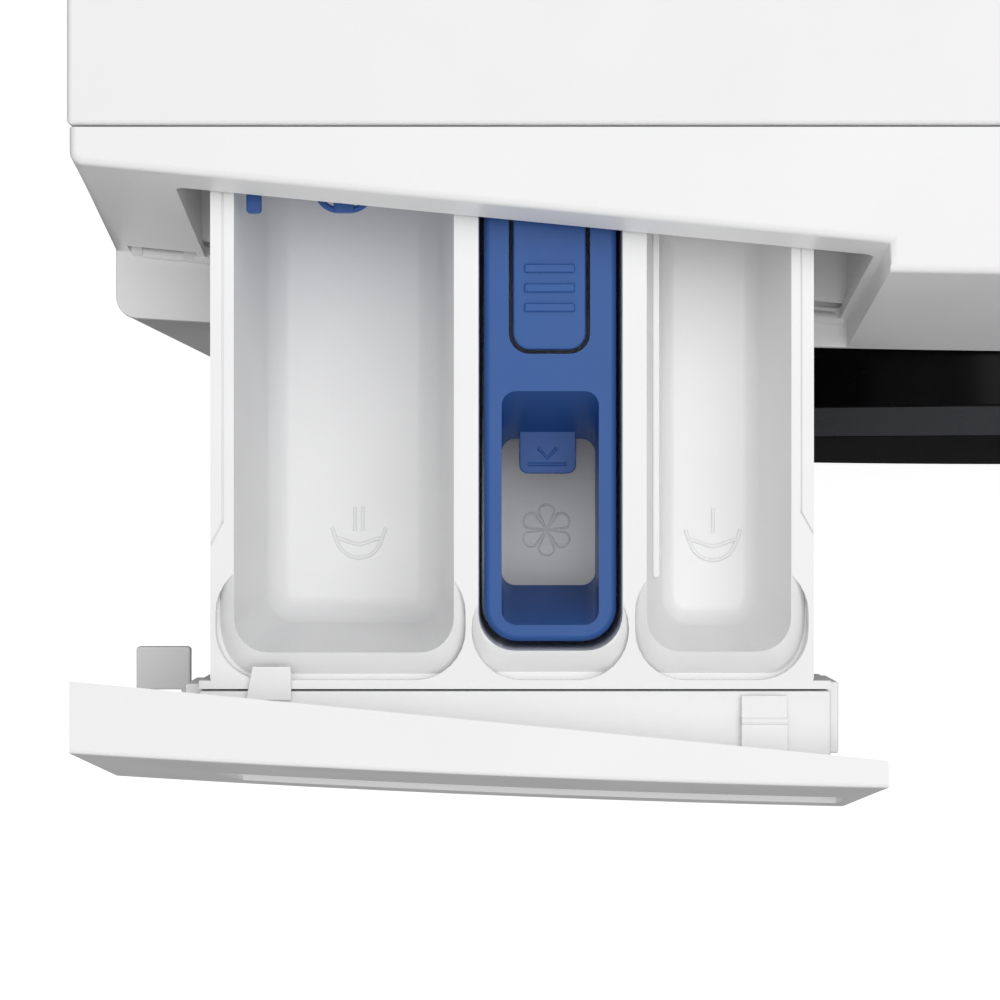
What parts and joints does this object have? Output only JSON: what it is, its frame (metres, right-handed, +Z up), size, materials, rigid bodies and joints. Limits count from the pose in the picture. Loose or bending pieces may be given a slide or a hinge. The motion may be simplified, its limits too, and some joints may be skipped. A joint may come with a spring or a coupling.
{
  "type": "front load washing machine",
  "caption": "Front-loading washing machine: bowed sloping fascia, dispenser drawer pulled out, round dark porthole door, suspended tub and drum, belt drive, filter flap and adjustable feet.",
  "frame": {"origin": "centre of the bounding box on the floor, with the drawer open as built", "axes": "+X towards the right of the machine seen from its front, +Y towards its rear, +Z up"},
  "size_m": [0.6, 0.7144, 0.845],
  "materials": {
    "enamel_white": "smooth powder coat",
    "worktop_white": "laminated chipboard, satin",
    "fascia_white": "moulded satin",
    "drawer_white": "moulded satin",
    "insert_blue": "moulded satin",
    "door_black": "high gloss",
    "window_tint": "tinted high gloss",
    "door_grey": "fine grain",
    "bowl_glass": "pressed glass",
    "rubber_grey": "moulded",
    "rubber_black": "moulded",
    "drum_steel": "polished and perforated",
    "zinc_steel": "zinc plated",
    "cast_aluminium": "as cast",
    "motor_steel": "laminated",
    "weight_cast": "rough cast",
    "tub_plastic": "filled polypropylene",
    "pan_grey": "filled polypropylene",
    "board_green": "lacquered",
    "display_black": "tinted",
    "black_plastic": "moulded"
  },
  "bodies": {
    "cabinet": {"left_side_panel": "enamel_white", "right_side_panel": "enamel_white", "front_panel": "enamel_white", "rear_panel": "zinc_steel", "rear_cover": "zinc_steel", "base_pan": "pan_grey", "top_braces": "zinc_steel", "worktop": "worktop_white", "control_fascia": "fascia_white", "display_window": "display_black", "control_board": "board_green", "drawer_housing": "tub_plastic", "water_valve": "tub_plastic", "fill_hose": "rubber_grey", "door_lock": "black_plastic", "hinge_bracket": "zinc_steel", "hinge_pin": "zinc_steel", "drain_pump": "tub_plastic", "mains_gland": "black_plastic", "damper_cylinders": "black_plastic"},
    "tub": {"tub_front": "tub_plastic", "tub_rear": "tub_plastic", "front_counterweight": "weight_cast", "top_counterweight": "weight_cast", "drive_motor": "motor_steel", "drum_bearings": "zinc_steel", "wash_heater": "drum_steel", "damper_rods": "zinc_steel", "door_gasket": "rubber_grey", "tub_hose": "rubber_black", "sump_hose": "rubber_black", "suspension_springs": "zinc_steel", "drive_belt": "rubber_black"},
    "drum": {"drum": "drum_steel", "drum_lifters": "tub_plastic", "drum_spider": "cast_aluminium", "drum_pulley": "cast_aluminium"},
    "motor_rotor": {"motor_pulley": "zinc_steel"},
    "door": {"door_ring": "door_black", "door_window": "window_tint", "door_frame": "door_grey", "glass_bowl": "bowl_glass", "hinge_arm": "zinc_steel"},
    "handle": {"door_handle": "door_black"},
    "hook": {"door_hook": "zinc_steel"},
    "drawer": {"drawer_tray": "drawer_white", "drawer_front": "fascia_white", "softener_insert": "insert_blue"},
    "tab": {"release_tab": "insert_blue"},
    "flap": {"liquid_flap": "insert_blue"},
    "filter_door": {"filter_flap": "enamel_white"},
    "filter": {"filter_cap": "black_plastic"},
    "impeller": {"pump_impeller": "black_plastic"},
    "dial": {"program_dial": "fascia_white"},
    "start": {"start_button": "fascia_white"},
    "power": {"power_button": "fascia_white"},
    "foot_fl": {"foot_front_left": "rubber_black"},
    "foot_fr": {"foot_front_right": "rubber_black"},
    "foot_rl": {"foot_rear_left": "rubber_black"},
    "foot_rr": {"foot_rear_right": "rubber_black"}
  },
  "joints": [
    {"name": "drawer_slide", "type": "slide", "parent": "cabinet", "child": "drawer", "axis": [0, -1, 0], "range_m": [-0.126, 0]},
    {"name": "release_tab_press", "type": "hinge", "parent": "drawer", "child": "tab", "pos_m": [-0.1818, -0.18678, 0.8205], "axis": [1, 0, 0], "range_deg": [0, 6], "stiffness_Nm_per_rad": 0.2, "springref_deg": -1.15},
    {"name": "liquid_flap_hinge", "type": "hinge", "parent": "drawer", "child": "flap", "pos_m": [-0.2332, -0.18078, 0.822], "axis": [1, 0, 0], "range_deg": [0, 85]},
    {"name": "door_hinge", "type": "hinge", "parent": "cabinet", "child": "door", "pos_m": [-0.238, -0.24128, 0.5], "axis": [0, 0, -1], "range_deg": [0, 120]},
    {"name": "handle_pull", "type": "hinge", "parent": "door", "child": "handle", "pos_m": [0.216, -0.25323, 0.5], "axis": [0, 0, -1], "range_deg": [0, 18], "stiffness_Nm_per_rad": 1.5, "springref_deg": -5.73},
    {"name": "hook_turn", "type": "hinge", "parent": "door", "child": "hook", "pos_m": [0.197, -0.23128, 0.5], "axis": [0, 0, -1], "range_deg": [-18, 0]},
    {"name": "tub_float", "type": "slide", "parent": "cabinet", "child": "tub", "axis": [0, 0, 1], "range_m": [-0.01, 0.01], "stiffness_N_per_m": 12000, "springref_m": 0.03818, "deforming": ["suspension_springs", "door_gasket", "tub_hose", "sump_hose"]},
    {"name": "drum_spin", "type": "hinge", "parent": "tub", "child": "drum", "pos_m": [0, -0.12728, 0.5], "axis": [0, 1, 0], "continuous": true},
    {"name": "motor_spin", "type": "hinge", "parent": "tub", "child": "motor_rotor", "pos_m": [0.02, 0.24272, 0.15], "axis": [0, 1, 0], "continuous": true},
    {"name": "dial_turn", "type": "hinge", "parent": "cabinet", "child": "dial", "pos_m": [0.06, -0.22525, 0.796], "axis": [0, -0.9895, 0.1444], "continuous": true},
    {"name": "start_press", "type": "slide", "parent": "cabinet", "child": "start", "axis": [0, 0.9895, -0.1444], "range_m": [0, 0.0015], "stiffness_N_per_m": 600, "springref_m": -0.001},
    {"name": "power_press", "type": "slide", "parent": "cabinet", "child": "power", "axis": [0, 0.9895, -0.1444], "range_m": [0, 0.0015], "stiffness_N_per_m": 600, "springref_m": -0.001},
    {"name": "filter_flap_hinge", "type": "hinge", "parent": "cabinet", "child": "filter_door", "pos_m": [0.215, -0.22188, 0.044], "axis": [1, 0, 0], "range_deg": [0, 90]},
    {"name": "filter_turn", "type": "hinge", "parent": "cabinet", "child": "filter", "pos_m": [0.215, -0.19328, 0.082], "axis": [0, 1, 0], "range_deg": [0, 90]},
    {"name": "impeller_spin", "type": "hinge", "parent": "cabinet", "child": "impeller", "pos_m": [0.215, -0.12328, 0.082], "axis": [0, 1, 0], "continuous": true},
    {"name": "foot_front_left_screw", "type": "slide", "parent": "cabinet", "child": "foot_fl", "axis": [0, 0, -1], "range_m": [0, 0.012]},
    {"name": "foot_front_right_screw", "type": "slide", "parent": "cabinet", "child": "foot_fr", "axis": [0, 0, -1], "range_m": [0, 0.012]},
    {"name": "foot_rear_left_screw", "type": "slide", "parent": "cabinet", "child": "foot_rl", "axis": [0, 0, -1], "range_m": [0, 0.012]},
    {"name": "foot_rear_right_screw", "type": "slide", "parent": "cabinet", "child": "foot_rr", "axis": [0, 0, -1], "range_m": [0, 0.012]}
  ],
  "couplings": [
    {"joint": "motor_spin", "follows": "drum_spin", "ratio": 12.273},
    {"joint": "hook_turn", "follows": "handle_pull", "ratio": -1}
  ]
}
